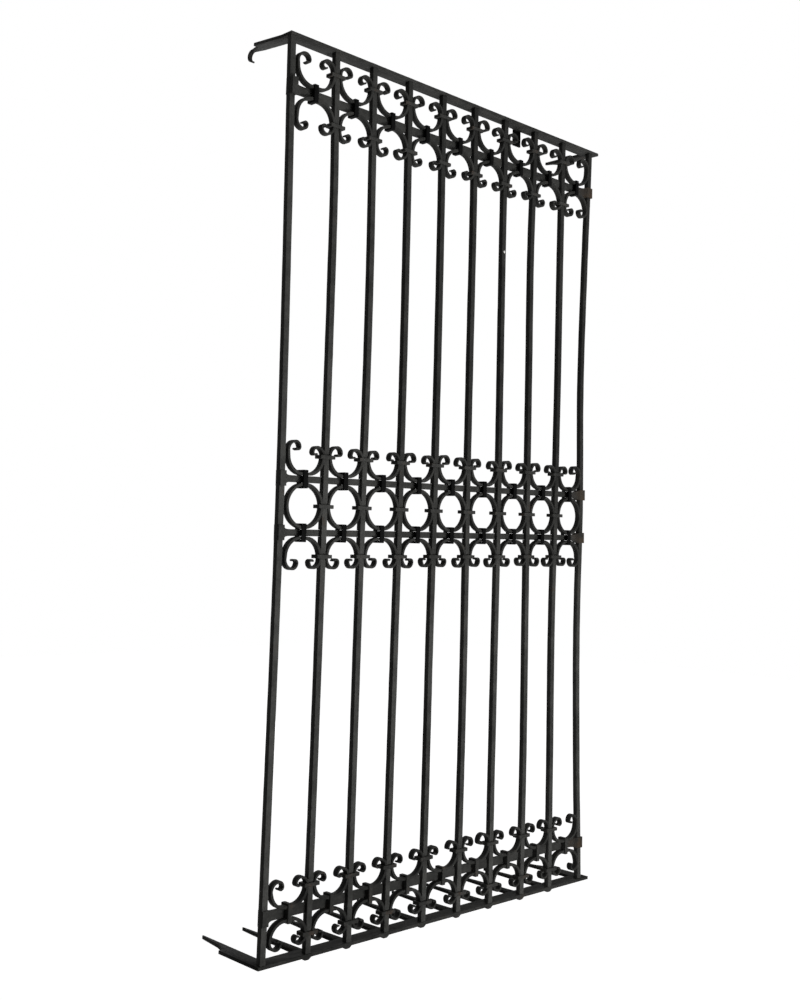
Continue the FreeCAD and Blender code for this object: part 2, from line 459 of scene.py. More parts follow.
@dataclass(frozen=True)
class ForgedIron:
    """Blackened iron with hammer marks, pits, faint streaks and a little rust.

    Colours are linear.  A noise is its marks per metre and its detail, a mix is the weights of what it
    adds up, and a range runs from where a colour starts to where it is full.  Places are in metres.
    """

    name: str
    dark: Colour = (0.026, 0.026, 0.0245)
    pale: Colour = (0.066, 0.066, 0.0625)
    olive: Colour = (0.049, 0.048, 0.044)
    rust: Colour = (0.090, 0.048, 0.026)
    broad_noise: Pair = (3.1, 3.0)
    patch_noise: Pair = (26.0, 5.0)
    grain_noise: Pair = (190.0, 4.0)
    pit_noise: Pair = (520.0, 3.0)
    shade_mix: tuple[float, ...] = (0.40, 0.38, 0.22)
    shade_range: Pair = (0.36, 0.66)
    olive_range: Pair = (0.56, 0.80)
    rust_mix: Pair = (0.55, 0.45)
    rust_start: float = 0.64
    rust_gain: float = 0.6
    rust_share: float = 0.05
    rust_soft: float = 0.14
    rusty_x: Pair | None = None
    rusty_range: Pair = (0.30, 0.62)
    hammer_scale: float = 70.0
    hammer_depth: float = 0.0007
    relief_mix: tuple[float, ...] = (0.72, 0.16, 0.12)
    relief: float = 0.85
    roughness: Pair = (0.50, 0.78)
    sheen: float = 0.05
    # darker above and to the right: the colour is multiplied by this factor, ramped in over these X and Z
    # ranges
    upper_right_dark: float = 1.0
    upper_right_x: Pair = (-0.38, -0.12)
    upper_right_z: Pair = (0.80, 1.25)
    # darker towards the bottom: the colour is multiplied by this factor, not at all above the first height
    # and fully below the second
    low_dark: float = 0.65
    low_dark_z: Pair = (1.7, 0.1)
    speck: Colour | None = None
    speck_size: Pair = (0.0030, 0.0042)
    speck_colour: Colour = (0.80, 0.79, 0.76)

    def material(self) -> bpy.types.Material:
        """Find the node material, or build it.

        Returns:
            The material.
        """
        found = bpy.data.materials.get(self.name)
        if found is not None:
            return found
        material = bpy.data.materials.new(self.name)
        material.use_nodes = True
        wire = Wiring(material.node_tree)
        place = wire.place()
        noises = self.broad_noise, self.patch_noise, self.grain_noise, self.pit_noise
        broad, patches, grain, pits = [wire.noise(place, *noise) for noise in noises]
        colour = self._forged(wire, broad, patches, grain, pits)
        colour = self._rusty(wire, place, patches, colour)
        colour = self._darkened(wire, place, colour)
        relief = wire.total((wire.dishes(place, self.hammer_scale), grain, pits), self.relief_mix)
        bump = wire.add("Bump", {"Strength": self.relief, "Distance": self.hammer_depth, "Height": relief})
        sockets = material.node_tree.nodes["Principled BSDF"].inputs
        wire.feed(sockets["Base Color"], self._speckled(wire, place, colour))
        wire.feed(sockets["Roughness"], wire.between(grain, *self.roughness))
        wire.feed(sockets["Specular IOR Level"], self.sheen)
        wire.feed(sockets["Normal"], bump.outputs["Normal"])
        return material

    def _forged(self, wire: Wiring, broad: bpy.types.NodeSocket, patches: bpy.types.NodeSocket,
                grain: bpy.types.NodeSocket, pits: bpy.types.NodeSocket) -> bpy.types.NodeSocket:
        """Mottled colour of the iron, with rust in its pits.

        Args:
            wire: adds the nodes.
            broad: noise of the widest scale.
            patches: noise of patches a few centimetres wide.
            grain: fine noise.
            pits: the finest noise.

        Returns:
            The colour.
        """
        shade = wire.total((broad, patches, grain), self.shade_mix)
        colour = wire.blend(wire.ramp(shade, *self.shade_range), self.dark, self.pale)
        colour = wire.blend(wire.ramp(patches, *self.olive_range), colour, self.olive)
        spread = wire.total((patches, pits), self.rust_mix)
        edge = self.rust_start - self.rust_gain * self.rust_share
        return wire.blend(wire.ramp(spread, edge, edge + self.rust_soft), colour, self.rust)

    def _rusty(self, wire: Wiring, place: bpy.types.NodeSocket, patches: bpy.types.NodeSocket,
               colour: bpy.types.NodeSocket) -> bpy.types.NodeSocket:
        """Rust a colour towards the right ends, where the finish has that.

        Args:
            wire: adds the nodes.
            place: place on the piece.
            patches: noise that breaks the rust up.
            colour: the colour so far.

        Returns:
            The colour.
        """
        if self.rusty_x is None:
            return colour
        end = wire.ramp(wire.axis(place, "X"), *self.rusty_x)
        share = wire.math("MULTIPLY", end, wire.ramp(patches, *self.rusty_range))
        return wire.blend(share, colour, self.rust)

    def _darkened(self, wire: Wiring, place: bpy.types.NodeSocket,
                  colour: bpy.types.NodeSocket) -> bpy.types.NodeSocket:
        """Darken a colour above and to the right, and towards the foot.

        Args:
            wire: adds the nodes.
            place: place on the piece.
            colour: the colour so far.

        Returns:
            The colour.
        """
        # darker above and to the right of the grille
        if self.upper_right_dark < 1.0:
            right = wire.ramp(wire.axis(place, "X"), *self.upper_right_x)
            above = wire.ramp(wire.axis(place, "Z"), *self.upper_right_z)
            share = wire.math("MULTIPLY", right, above)
            colour = wire.blend(share, colour, (self.upper_right_dark,) * 3, "MULTIPLY")
        # darker towards the bottom
        if self.low_dark < 1.0:
            foot = wire.ramp(wire.axis(place, "Z"), *self.low_dark_z)
            colour = wire.blend(foot, colour, (self.low_dark,) * 3, "MULTIPLY")
        return colour

    def _speckled(self, wire: Wiring, place: bpy.types.NodeSocket,
                  colour: bpy.types.NodeSocket) -> bpy.types.NodeSocket:
        """Set a pale speck on a colour, where the finish has one.

        Args:
            wire: adds the nodes.
            place: place on the piece.
            colour: the colour so far.

        Returns:
            The colour.
        """
        if self.speck is None:
            return colour
        far = wire.add("VectorMath", {0: place, 1: self.speck}, operation="DISTANCE").outputs["Value"]
        return wire.blend(wire.ramp(far, *self.speck_size), self.speck_colour, colour)


# the bars are darker above and to the right, and not darker towards the bottom
BAR_IRON = ForgedIron("bar_iron", upper_right_dark=0.62, low_dark=1.0, speck=(0.1931, -0.147, 1.774))
RAIL_IRON = ForgedIron("rail_iron", rust_share=0.08, hammer_scale=48.0)
FOOT_IRON = replace(RAIL_IRON, name="foot_iron", sheen=0.02)
CROSS_IRON = ForgedIron("cross_iron", rust_share=0.08, hammer_scale=62.0, rust=(0.062, 0.045, 0.031),
                        rusty_x=(0.52, 0.575))
SCROLL_IRON = ForgedIron("scroll_iron", dark=(0.020, 0.020, 0.019), pale=(0.052, 0.052, 0.049),
                         hammer_scale=95.0, hammer_depth=0.0005)
COLLAR_IRON = ForgedIron("collar_iron", rust_share=0.16, hammer_scale=110.0, hammer_depth=0.0005)
BLACK_IRON = ForgedIron("black_iron", dark=(0.003, 0.003, 0.003), pale=(0.007, 0.007, 0.007),
                        olive=(0.006, 0.005, 0.005), rust=(0.016, 0.008, 0.005),
                        hammer_scale=110.0, sheen=0.02)


def dress(piece: bpy.types.Object, finish: ForgedIron, slot: str, *nodes: str) -> None:
    """Give a finished piece its material and tie it to the frame.

    Args:
        piece: the finished object.
        finish: its iron.
        slot: not used.
        nodes: frame nodes that it stands for.
    """
    piece.data.materials.clear()
    piece.data.materials.append(finish.material())
    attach(piece, BODY)
    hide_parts(*nodes)
    LOG.info("%s: %d faces", piece.name, len(piece.data.polygons))


# layout


@dataclass(frozen=True)
class Layout:
    """Places that the pieces of the grille share."""

    height: float = 2162.0
    bar: float = 14.0
    bar_count: int = 10
    first_bay: float = 136.0
    bay: float = 125.6
    wall_gap: float = 140.0
    sways: tuple[tuple[float, ...], ...] = (
        (0.0, 1.0, 2.5, 1.5, -3.0, -9.5, -16.5),
        (-4.0, -2.0, -1.0, -1.0, -1.0, -3.0, -11.0),
        (-4.0, -3.0, -3.0, -2.0, 0.0, -3.0, -10.0),
        (-6.0, -4.0, -2.0, 0.0, 0.0, -3.0, -8.0),
        (-3.0, -2.0, -2.0, 0.0, 0.0, -2.0, -6.0),
        (0.0, 3.0, 3.0, 0.0, -1.0, -1.0, -4.0),
        (-1.0, -1.0, 0.0, 1.0, -1.0, -3.0, -3.0),
        (3.0, 5.0, 2.0, -1.0, -3.0, -5.0, 3.0),
        (-1.0, -3.0, -6.0, -1.0, 3.0, 4.0, 6.0),
        (8.0, -6.0, -14.0, -8.0, -13.5, -3.5, 10.0),
    )
    rail_width: float = 40.0
    rail_thick: float = 8.0
    rail_lip: float = 2.0
    left_overhang: float = 6.0
    head_overhang: float = 1.0
    right_overhang: float = 40.0
    outer_tall: float = 22.0
    middle_tall: float = 16.0
    cross_thick: float = 8.0
    cross_inset: float = 9.0
    cross_drop: float = 133.0
    cross_middle: float = 970.5
    cross_foot: float = 109.5
    middle_rise: float = 14.0
    ring_tall: float = 109.0
    ribbon: float = 7.0
    ribbon_deep: float = 16.0
    proud: float = 3.5
    top_back: float = 49.0
    middle_back: float = 47.0
    bottom_back: float = 43.0
    top_flank: float = 5.5
    first_gap: float = 6.0
    fit: float = 0.4

    @property
    def span(self) -> float:
        """Distance between the end posts."""
        return self.first_bay + self.bay * (self.bar_count - 2)

    @property
    def left(self) -> float:
        """Place of the left post."""
        return -self.span / 2

    @property
    def bays(self) -> int:
        """Number of bays."""
        return self.bar_count - 1

    @property
    def front(self) -> float:
        """Fronts of the upright bars."""
        return -self.wall_gap - self.bar / 2

    @property
    def ribbon_front(self) -> float:
        """Fronts of the scrolls and rings."""
        return self.front - self.proud

    @property
    def rail_front(self) -> float:
        """Front edge of the rails."""
        return self.front - self.rail_lip

    @property
    def rail_back(self) -> float:
        """Back edge of the rails."""
        return self.rail_front + self.rail_width

    @property
    def cross_front(self) -> float:
        """Fronts of the cross-bars."""
        return self.front + self.cross_inset

    @property
    def cross_back(self) -> float:
        """Backs of the cross-bars."""
        return self.cross_front + self.cross_thick

    @property
    def left_low(self) -> float:
        """Left end of the lower rail."""
        return self.bar_at(0, 0.0) - self.bar / 2 - self.left_overhang

    @property
    def left_high(self) -> float:
        """Left end of the upper rail."""
        return self.bar_at(0, self.height) - self.bar / 2 - self.head_overhang

    @property
    def right_end(self) -> float:
        """Right end of both rails."""
        return -self.left + self.bar / 2 + self.right_overhang

    @property
    def ring_pitch(self) -> float:
        """Distance between the middle pair of cross-bars."""
        return self.ring_tall + self.middle_tall + 2 * self.fit

    def bar_x(self, index: int) -> float:
        """Mark that an upright bar was set out to, counted from 0 at the left."""
        return self.left + (self.first_bay + self.bay * (index - 1) if index else 0.0)

    def bar_at(self, index: int, z: float) -> float:
        """Middle of a bar at a height, on a smooth line through its sways off its mark.

        Args:
            index: the bar, counted from 0 at the left.
            z: the height.

        Returns:
            Its place along the rails.
        """
        sway = self.sways[index]
        last = len(sway) - 1
        along = min(max(z / self.height, 0.0), 1.0) * last
        step = min(int(along), last - 1)
        before, after = sway[max(step - 1, 0)], sway[min(step + 2, last)]
        low, high, part = sway[step], sway[step + 1], along - step
        rise, fall = (high - before) / 2, (after - low) / 2
        curve = low + part * (rise + part * (3 * (high - low) - 2 * rise - fall
                                             + part * (rise + fall - 2 * (high - low))))
        return self.bar_x(index) + curve

    def row_z(self, row: Row, x: float) -> float:
        """Middle height of a cross-bar at a place along it.

        Args:
            row: the cross-bar.
            x: the place.

        Returns:
            The height.
        """
        rise = self.middle_rise / self.span * (x - self.left)
        heights = {
            Row.TOP: self.height - self.cross_drop,
            Row.UPPER: self.cross_middle + self.ring_pitch + rise,
            Row.LOWER: self.cross_middle + rise,
            Row.BOTTOM: self.cross_foot,
        }
        return heights[row]

    def bay_span(self, index: int, z: float) -> Pair:
        """Space in a bay at a height.

        Args:
            index: the bay, counted from 0 at the left.
            z: the height.

        Returns:
            Its middle and half of its width.
        """
        low = self.bar_at(index, z) + self.bar / 2 + (self.first_gap if index == 0 else 0.0)
        high = self.bar_at(index + 1, z) - self.bar / 2
        return (low + high) / 2, (high - low) / 2 - self.fit

    def cross_tall(self, row: Row) -> float:
        """Height of a cross-bar."""
        return self.outer_tall if row in (Row.TOP, Row.BOTTOM) else self.middle_tall

    def seat(self, row: Row) -> float:
        """Backs of the scrolls, and edges of the notches, off the middle of a cross-bar."""
        return self.cross_tall(row) / 2 + self.fit

    def back(self, row: Row) -> float:
        """Radius of the backs of a row's scrolls."""
        return {Row.TOP: self.top_back, Row.BOTTOM: self.bottom_back}.get(row, self.middle_back)

    def flank(self, row: Row) -> float:
        """Straight length in the sides of a row's scrolls."""
        return self.top_flank if row is Row.TOP else 0.0

    def widest(self, row: Row, way: Way, x: float) -> float:
        """Height at which the scrolls on one side of a cross-bar stand widest."""
        return self.row_z(row, x) + way.value * (self.seat(row) + self.back(row) + self.flank(row) / 2)

    def ring_z(self, x: float) -> float:
        """Height of the middle of the rings at a place along the rails."""
        return self.row_z(Row.LOWER, x) + self.ring_pitch / 2


# rails, anchors and bars


@dataclass
class Rails:
    """The two flat rails with their ends turned back to the wall."""

    layout: Layout
    leg_width: float = 36.0
    tang_width: float = 24.0
    tang_waist: float = 0.55
    tang_bend: float = 0.32
    tang_tip: float = 4.0
    tang_long: float = 110.0
    tang_mid: float = 75.0
    tang_short: float = 30.0
    leg_rise: float = 5.5
    hook_run: float = 39.0
    hook_width: float = 22.0
    hook_radius: float = 14.0
    hook_turn: float = 180.0
    hook_thick: float = 4.0
    hook_waist: float = 0.55
    hook_steps: int = 14
    tenon: float = 10.0
    punch: float = 5.0
    edge: float = 1.3

    def build(self) -> None:
        """Model, finish and dress both rails."""
        lay = self.layout
        lower = self._run("lower_rail_forged", lay.left_low, 0.0)
        self._tang(lower, lay.left_low, 1, 0.0, self.tang_long)
        self._tang(lower, lay.right_end, -1, 0.0, self.tang_mid)
        self._finish(lower, 0.0, 0.0, FOOT_IRON, "lower_rail")
        low = lay.height - lay.rail_thick
        upper = self._run("upper_rail_forged", lay.left_high, low)
        self._tang(upper, lay.right_end, -1, low, self.tang_short)
        self._hook(upper, lay.left_high, low)
        self._finish(upper, low, lay.height, RAIL_IRON, "upper_rail")

    def _run(self, name: str, left: float, low: float) -> bpy.types.Object:
        """Model a rail with its two legs drawn out to the wall face.

        Args:
            name: name of the new object.
            left: left end of the rail.
            low: its underside.

        Returns:
            The rail.
        """
        lay = self.layout
        rail = add_block(name, (left, lay.rail_front, low),
                         (lay.right_end, lay.rail_back, low + lay.rail_thick))
        with editing(rail):
            inner_left, inner_right = left + self.leg_width, lay.right_end - self.leg_width
            cut_at(0, inner_left)
            cut_at(0, inner_right)
            for a, b in ((left, inner_left), (inner_right, lay.right_end)):
                select_faces(rail, facing_near(1, 1, 0, a, b))
                extrude((0.0, -lay.rail_back, 0.0))
        return rail

    def _tang(self, rail: bpy.types.Object, outer: float, inward: int, low: float,
              length: float) -> None:
        """Draw a pointed tang out of the inner part of a leg's end.

        Args:
            rail: the rail being modelled.
            outer: outer edge of the leg.
            inward: +1 where the tang lies to the right of that edge, -1 to the left.
            low: underside of the rail.
            length: how far the tang runs into the wall.
        """
        inner = outer + inward * self.leg_width
        waist = length * self.tang_bend
        share = self.tang_tip / (self.tang_width * self.tang_waist)
        with editing(rail):
            self._root(rail, outer, inner, self.tang_width)
            extrude((0.0, waist, 0.0))
            resize((self.tang_waist, 1.0, 1.0), (inner, waist, low))
            extrude((0.0, length - waist, 0.0))
            resize((share, 1.0, 1.0), (inner, length, low))

    @staticmethod
    def _root(rail: bpy.types.Object, outer: float, inner: float, width: float) -> None:
        """Divide a leg along its length and select the inner part of its end at the wall.

        Args:
            rail: the rail being modelled.
            outer: outer edge of the leg.
            inner: inner edge of the leg.
            width: width of the inner part.
        """
        place = inner + math.copysign(width, outer - inner)
        low, high = min(outer, inner) - NEAR, max(outer, inner) + NEAR
        select_faces(rail, lambda f: all(low * MM < v.co.x < high * MM for v in f.verts))
        bpy.ops.mesh.bisect(plane_co=(place * MM, 0.0, 0.0), plane_no=(1.0, 0.0, 0.0))
        part = facing_near(1, 1, 0, min(place, inner), max(place, inner))
        select_faces(rail, lambda f: part(f) and abs(f.calc_center_median().y) < NEAR * MM)

    def _hook(self, rail: bpy.types.Object, outer: float, low: float) -> None:
        """Bend the upper left leg up a little and hook its tang downwards.

        Args:
            rail: the upper rail being modelled.
            outer: outer edge of the leg.
            low: underside of the rail.
        """
        lay = self.layout
        inner = outer + self.leg_width
        middle = low + lay.rail_thick / 2
        pivot = (inner, self.hook_run, middle - self.hook_radius)
        back, right = (lay.rail_back + NEAR) * MM, (inner + NEAR) * MM
        with editing(rail):
            self._root(rail, outer, inner, self.hook_width)
            extrude((0.0, self.hook_run, 0.0))
            thin = self.hook_thick / lay.rail_thick
            resize((self.hook_waist, 1.0, thin), (inner, self.hook_run, middle))
            turn(self.hook_steps, self.hook_turn, pivot, (1.0, 0.0, 0.0))
            select_faces(rail, lambda f: f.calc_center_median().y > back
                         and f.calc_center_median().x < right)
            bpy.ops.transform.rotate(value=-math.radians(self.leg_rise), orient_axis="X",
                                     center_override=metres((inner, lay.rail_back, low)))

    def _finish(self, rail: bpy.types.Object, low: float, level: float, finish: ForgedIron,
                node: str) -> None:
        """Punch the holes for the tenons, soften the edges and dress the rail.

        Args:
            rail: the modelled rail.
            low: its underside.
            level: height at which the ends of the bars are placed.
            finish: its iron.
            node: frame node that it stands for.
        """
        lay = self.layout
        half = self.tenon / 2 + lay.fit
        holes = []
        for index in range(lay.bar_count):
            x = lay.bar_at(index, level)
            holes.append(add_block("hole", (x - half, -lay.wall_gap - half, low - self.punch),
                                   (x + half, -lay.wall_gap + half, low + lay.rail_thick + self.punch)))
        outwards(rail)
        subtract(rail, holes)
        soften(rail, self.edge)
        dress(rail, finish, "rails", node)


@dataclass
class Anchors:
    """Pointed anchors behind the inner bars, the hanging strap and the peened heads."""

    layout: Layout
    width: float = 16.0
    foot: float = 26.0
    tip: float = 4.0
    tang: float = 100.0
    edge: float = 1.1
    strap_width: float = 31.0
    strap_thick: float = 6.0
    strap_drop: float = 45.0
    strap_bay: int = 6
    strap_shift: float = 25.0
    strap_cuts: int = 3
    strap_rough: Pair = (0.35, 0.6)
    strap_seed: int = 4
    strap_edge: float = 1.2
    head_width: float = 27.0
    head_low: float = 7.5
    head_high: float = 2.5
    head_share: float = 0.72
    head_edge: float = 1.8
    head_edge_share: float = 0.45
    head_limit: float = 20.0

    def build(self) -> None:
        """Model and dress the anchors, the strap and the heads."""
        for index in range(1, self.layout.bar_count - 1):
            self._anchor(index)
        self._strap()
        self._heads("heads_lower", 0.0, -self.head_low)
        self._heads("heads_upper", self.layout.height, self.head_high)

    def _anchor(self, index: int) -> None:
        """Model one anchor, drawn to a point inside the wall.

        Args:
            index: its bar, counted from 0 at the left.
        """
        lay = self.layout
        x = lay.bar_at(index, 0.0)
        half = self.width / 2
        node = "anchor_%02d" % (index + 1)
        piece = add_block(node + "_forged", (x - half, lay.rail_back, 0.0),
                          (x + half, 0.0, lay.rail_thick))
        with editing(piece):
            select_faces(piece, facing(1, -1))
            resize((self.foot / self.width, 1.0, 1.0), (x, lay.rail_back, 0.0))
            select_faces(piece, facing(1, 1))
            extrude((0.0, self.tang, 0.0))
            resize((self.tip / self.width, 1.0, 1.0), (x, self.tang, 0.0))
        soften(piece, self.edge)
        dress(piece, FOOT_IRON, "rails", node)

    def _strap(self) -> None:
        """Model the strap that hangs behind the upper rail."""
        lay = self.layout
        middle = (lay.bar_x(self.strap_bay) + lay.bar_x(self.strap_bay + 1)) / 2 + self.strap_shift
        half = self.strap_width / 2
        low = lay.height - lay.rail_thick - self.strap_drop
        piece = add_block("lug_forged", (middle - half, lay.rail_back, low),
                          (middle + half, lay.rail_back + self.strap_thick, lay.height))
        with editing(piece):
            bpy.ops.mesh.select_all(action="SELECT")
            bpy.ops.mesh.subdivide(number_cuts=self.strap_cuts)
            roughen(*self.strap_rough, self.strap_seed)
        soften(piece, self.strap_edge)
        dress(piece, BLACK_IRON, "rails", "lug")

    def _heads(self, node: str, z: float, thick: float) -> None:
        """Model the peened heads of one rail.

        Args:
            node: frame node that they stand for.
            z: face of the rail.
            thick: height of the heads, negative below the rail.
        """
        lay = self.layout
        half = self.head_width / 2
        share = (half - abs(thick)) / half
        edge = min(self.head_edge, abs(thick) * self.head_edge_share)
        found = []
        for index in range(1, lay.bar_count - 1):
            x = lay.bar_at(index, z)
            low, high = sorted((z, z + thick))
            head = add_block("head", (x - half, lay.front, low), (x + half, lay.front + lay.bar, high))
            with editing(head):
                select_faces(head, facing(2, 1 if thick > 0 else -1))
                resize((share, self.head_share, 1.0), (x, -lay.wall_gap, z + thick))
            soften(head, edge, segments=3, limit=self.head_limit)
            found.append(head)
        dress(join(found, node + "_forged"), RAIL_IRON, "rails", node)


@dataclass
class Uprights:
    """Upright bars, close to square, with tenons at both ends."""

    layout: Layout
    tenon: float = 10.0
    edge: float = 0.7
    rough: Pair = (0.22, 0.5)
    rings: int = 56
    spread: float = 1.2
    post_spread: float = 2.0
    notch_side: float = 4.0
    notch_back: float = 6.0

    def build(self) -> None:
        """Model and dress all the bars."""
        for index in range(self.layout.bar_count):
            self._bar(index)

    def _bar(self, index: int) -> None:
        """Model one bar from a block: roughened, tenoned, bent, notched and softened.

        Args:
            index: the bar, counted from 0 at the left.
        """
        lay = self.layout
        half = lay.bar / 2
        low, high = lay.rail_thick, lay.height - lay.rail_thick
        x = lay.bar_x(index)
        node = "bar_%02d" % (index + 1)
        spread = self.spread if index else self.post_spread
        bar = add_block(node + "_forged", (x - half, lay.front, low),
                        (x + half + spread, lay.front + lay.bar, high))
        with editing(bar):
            self._divide(bar)
            roughen(*self.rough, index + 1)
            for sign, z in ((1, high), (-1, low)):
                select_faces(bar, facing_at(2, sign, z))
                bpy.ops.mesh.inset(thickness=(half - self.tenon / 2) * MM, use_even_offset=True)
                extrude((0.0, 0.0, sign * lay.rail_thick))
        self._sway(bar, index)
        if 0 < index < lay.bar_count - 1:
            self._notch(bar, index)
        soften(bar, self.edge)
        dress(bar, BAR_IRON, "bars", node)

    def _divide(self, bar: bpy.types.Object) -> None:
        """Divide the long sides of a bar into short lengths.

        Args:
            bar: the bar being edited.
        """
        least = self.layout.height / 2 * MM
        bpy.ops.mesh.select_mode(type="EDGE")
        bpy.ops.mesh.select_all(action="DESELECT")
        shape = bmesh.from_edit_mesh(bar.data)
        for edge in shape.edges:
            if abs(edge.verts[0].co.z - edge.verts[1].co.z) > least:
                edge.select_set(True)
        bmesh.update_edit_mesh(bar.data)
        bpy.ops.mesh.subdivide(number_cuts=self.rings)
        bpy.ops.mesh.select_mode(type="FACE")

    def _sway(self, bar: bpy.types.Object, index: int) -> None:
        """Set a bar on its own line, which leans or bows off its mark.

        Args:
            bar: the bar, modelled straight on its mark.
            index: which one it is.
        """
        mark = self.layout.bar_x(index)
        for vertex in bar.data.vertices:
            vertex.co.x += (self.layout.bar_at(index, vertex.co.z / MM) - mark) * MM

    def _notch(self, bar: bpy.types.Object, index: int) -> None:
        """Cut the notches that the cross-bars are let into.

        Args:
            bar: the bar on its line.
            index: which one it is.
        """
        lay = self.layout
        half = lay.bar / 2 + self.notch_side
        back = lay.front + lay.bar + self.notch_back
        cutters = []
        for row in Row:
            z = lay.row_z(row, lay.bar_x(index))
            x, reach = lay.bar_at(index, z), lay.seat(row)
            cutters.append(add_block("notch", (x - half, lay.cross_front - lay.fit, z - reach),
                                     (x + half, back, z + reach)))
        outwards(bar)
        subtract(bar, cutters)


@dataclass
class CrossBars:
    """Cross-bars that flare into a fork at the left post and an eye round the right one."""

    layout: Layout
    eye_wall: float = 3.0
    eye_left: float = -0.8
    eye_end: float = 9.0
    eye_tall: float = 30.0
    knob: float = 5.0
    knob_share: float = 0.62
    tail_tall: float = 36.0
    top_tail_tall: float = 42.0
    tail_front: float = 3.0
    top_tail_front: float = 10.0
    tail_back: float = 0.2
    eye_fit: float = 0.6
    flare: float = 24.0
    curve: tuple[Pair, ...] = ((0.30, 0.04), (0.55, 0.16), (0.78, 0.42), (1.0, 1.0))
    hole_half: float = 40.0
    edge: float = 1.2
    edge_limit: float = 34.0

    def build(self) -> None:
        """Model and dress the four cross-bars."""
        for row in Row:
            self._bar(row)

    def _bar(self, row: Row) -> None:
        """Model one cross-bar level, then set it at its height and slope.

        Args:
            row: the cross-bar.
        """
        lay = self.layout
        left_z, right_z = lay.row_z(row, lay.left), lay.row_z(row, -lay.left)
        post, far_post = lay.bar_at(0, left_z), lay.bar_at(lay.bar_count - 1, right_z)
        hole = lay.bar / 2 + self.eye_fit
        side = hole + self.eye_wall
        half = lay.cross_tall(row) / 2
        node = "cross_" + row.value
        start, end = post + side + self.flare, far_post - side - self.flare
        piece = add_block(node + "_forged", (start, lay.cross_front, -half), (end, lay.cross_back, half))
        with editing(piece):
            self._eye(piece, row, start, -1, side + hole + self.eye_left)
            self._eye(piece, row, end, 1, side + hole + self.eye_end)
        outwards(piece)
        cutters = [add_block("post_hole", (x - hole, -lay.wall_gap - hole, -self.hole_half),
                             (x + hole, -lay.wall_gap + hole, self.hole_half)) for x in (post, far_post)]
        subtract(piece, cutters)
        soften(piece, self.edge, segments=3, limit=self.edge_limit)
        slope = math.atan((right_z - left_z) / lay.span)
        pick(piece)
        bpy.ops.transform.translate(value=metres((-lay.left, 0.0, 0.0)))
        settle()
        piece.rotation_euler[1] = -slope
        piece.location = metres((lay.left, 0.0, left_z))
        settle()
        dress(piece, CROSS_IRON, "cross_bars", node)

    def _end(self, row: Row, way: int) -> tuple[float, float, float]:
        """Size of an end.

        Args:
            row: the cross-bar.
            way: +1 for the right end, -1 for the left one.

        Returns:
            Its height, and how far it reaches before and behind its post.
        """
        if way > 0:
            return self.eye_tall, self.eye_wall, self.eye_wall
        if row is Row.TOP:
            return self.top_tail_tall, self.top_tail_front, self.tail_back
        return self.tail_tall, self.tail_front, self.tail_back

    def _eye(self, piece: bpy.types.Object, row: Row, start: float, way: int, length: float) -> None:
        """Flare one end of the bar and draw out its eye or fork, which is cut open later.

        Args:
            piece: the cross-bar being modelled.
            row: its row.
            start: where the flare begins.
            way: +1 towards the right post, -1 towards the left one.
            length: length of the eye or fork along the bar.
        """
        lay = self.layout
        slim_y = (lay.cross_front + lay.cross_back) / 2
        eye_tall, front, back = self._end(row, way)
        deep = lay.bar + 2 * self.eye_fit + front + back
        eye_y = -lay.wall_gap + (back - front) / 2
        select_faces(piece, facing_at(0, way, start))
        slim_z = lay.cross_tall(row)
        done_x, done_y, done_z = 0.0, lay.cross_thick, slim_z
        middle = slim_y
        for along, share in self.curve:
            depth = lay.cross_thick + (deep - lay.cross_thick) * share
            tall = slim_z + (eye_tall - slim_z) * share
            target = slim_y + (eye_y - slim_y) * share
            extrude((way * (along * self.flare - done_x), target - middle, 0.0))
            resize((1.0, depth / done_y, tall / done_z), (start + way * along * self.flare, target, 0.0))
            done_x, done_y, done_z, middle = along * self.flare, depth, tall, target
        if way < 0:
            extrude((-length, 0.0, 0.0))
            return
        extrude((length - self.knob, 0.0, 0.0))
        extrude((self.knob, 0.0, 0.0))
        resize((1.0, self.knob_share, self.knob_share), (start + self.flare + length, eye_y, 0.0))


# scrollwork


@dataclass(frozen=True)
class Curl:
    """One half of a C-scroll, from the middle of its back to the end of its curl.

    Attributes:
        half: distance from the middle of the back to the outside of the curl.
        back: radius of the back's quarter turn.
        flank: straight length of its side.
        radius: radius of the first turn after the back's quarter turn.
        last: angle of the last turn, in degrees.
        second: radius of the second turn, as a share of the first.
        third: radius of the last turn, as a share of the first.
    """

    half: float
    back: float
    flank: float = 0.0
    radius: float = 24.0
    last: float = 150.0
    second: float = 0.667
    third: float = 0.37

    @property
    def turns(self) -> tuple[Pair, ...]:
        """Radius and angle of each turn of the curl."""
        tight = self.radius * self.third
        return (self.radius, 90.0), (self.radius * self.second, 90.0), (tight, self.last)


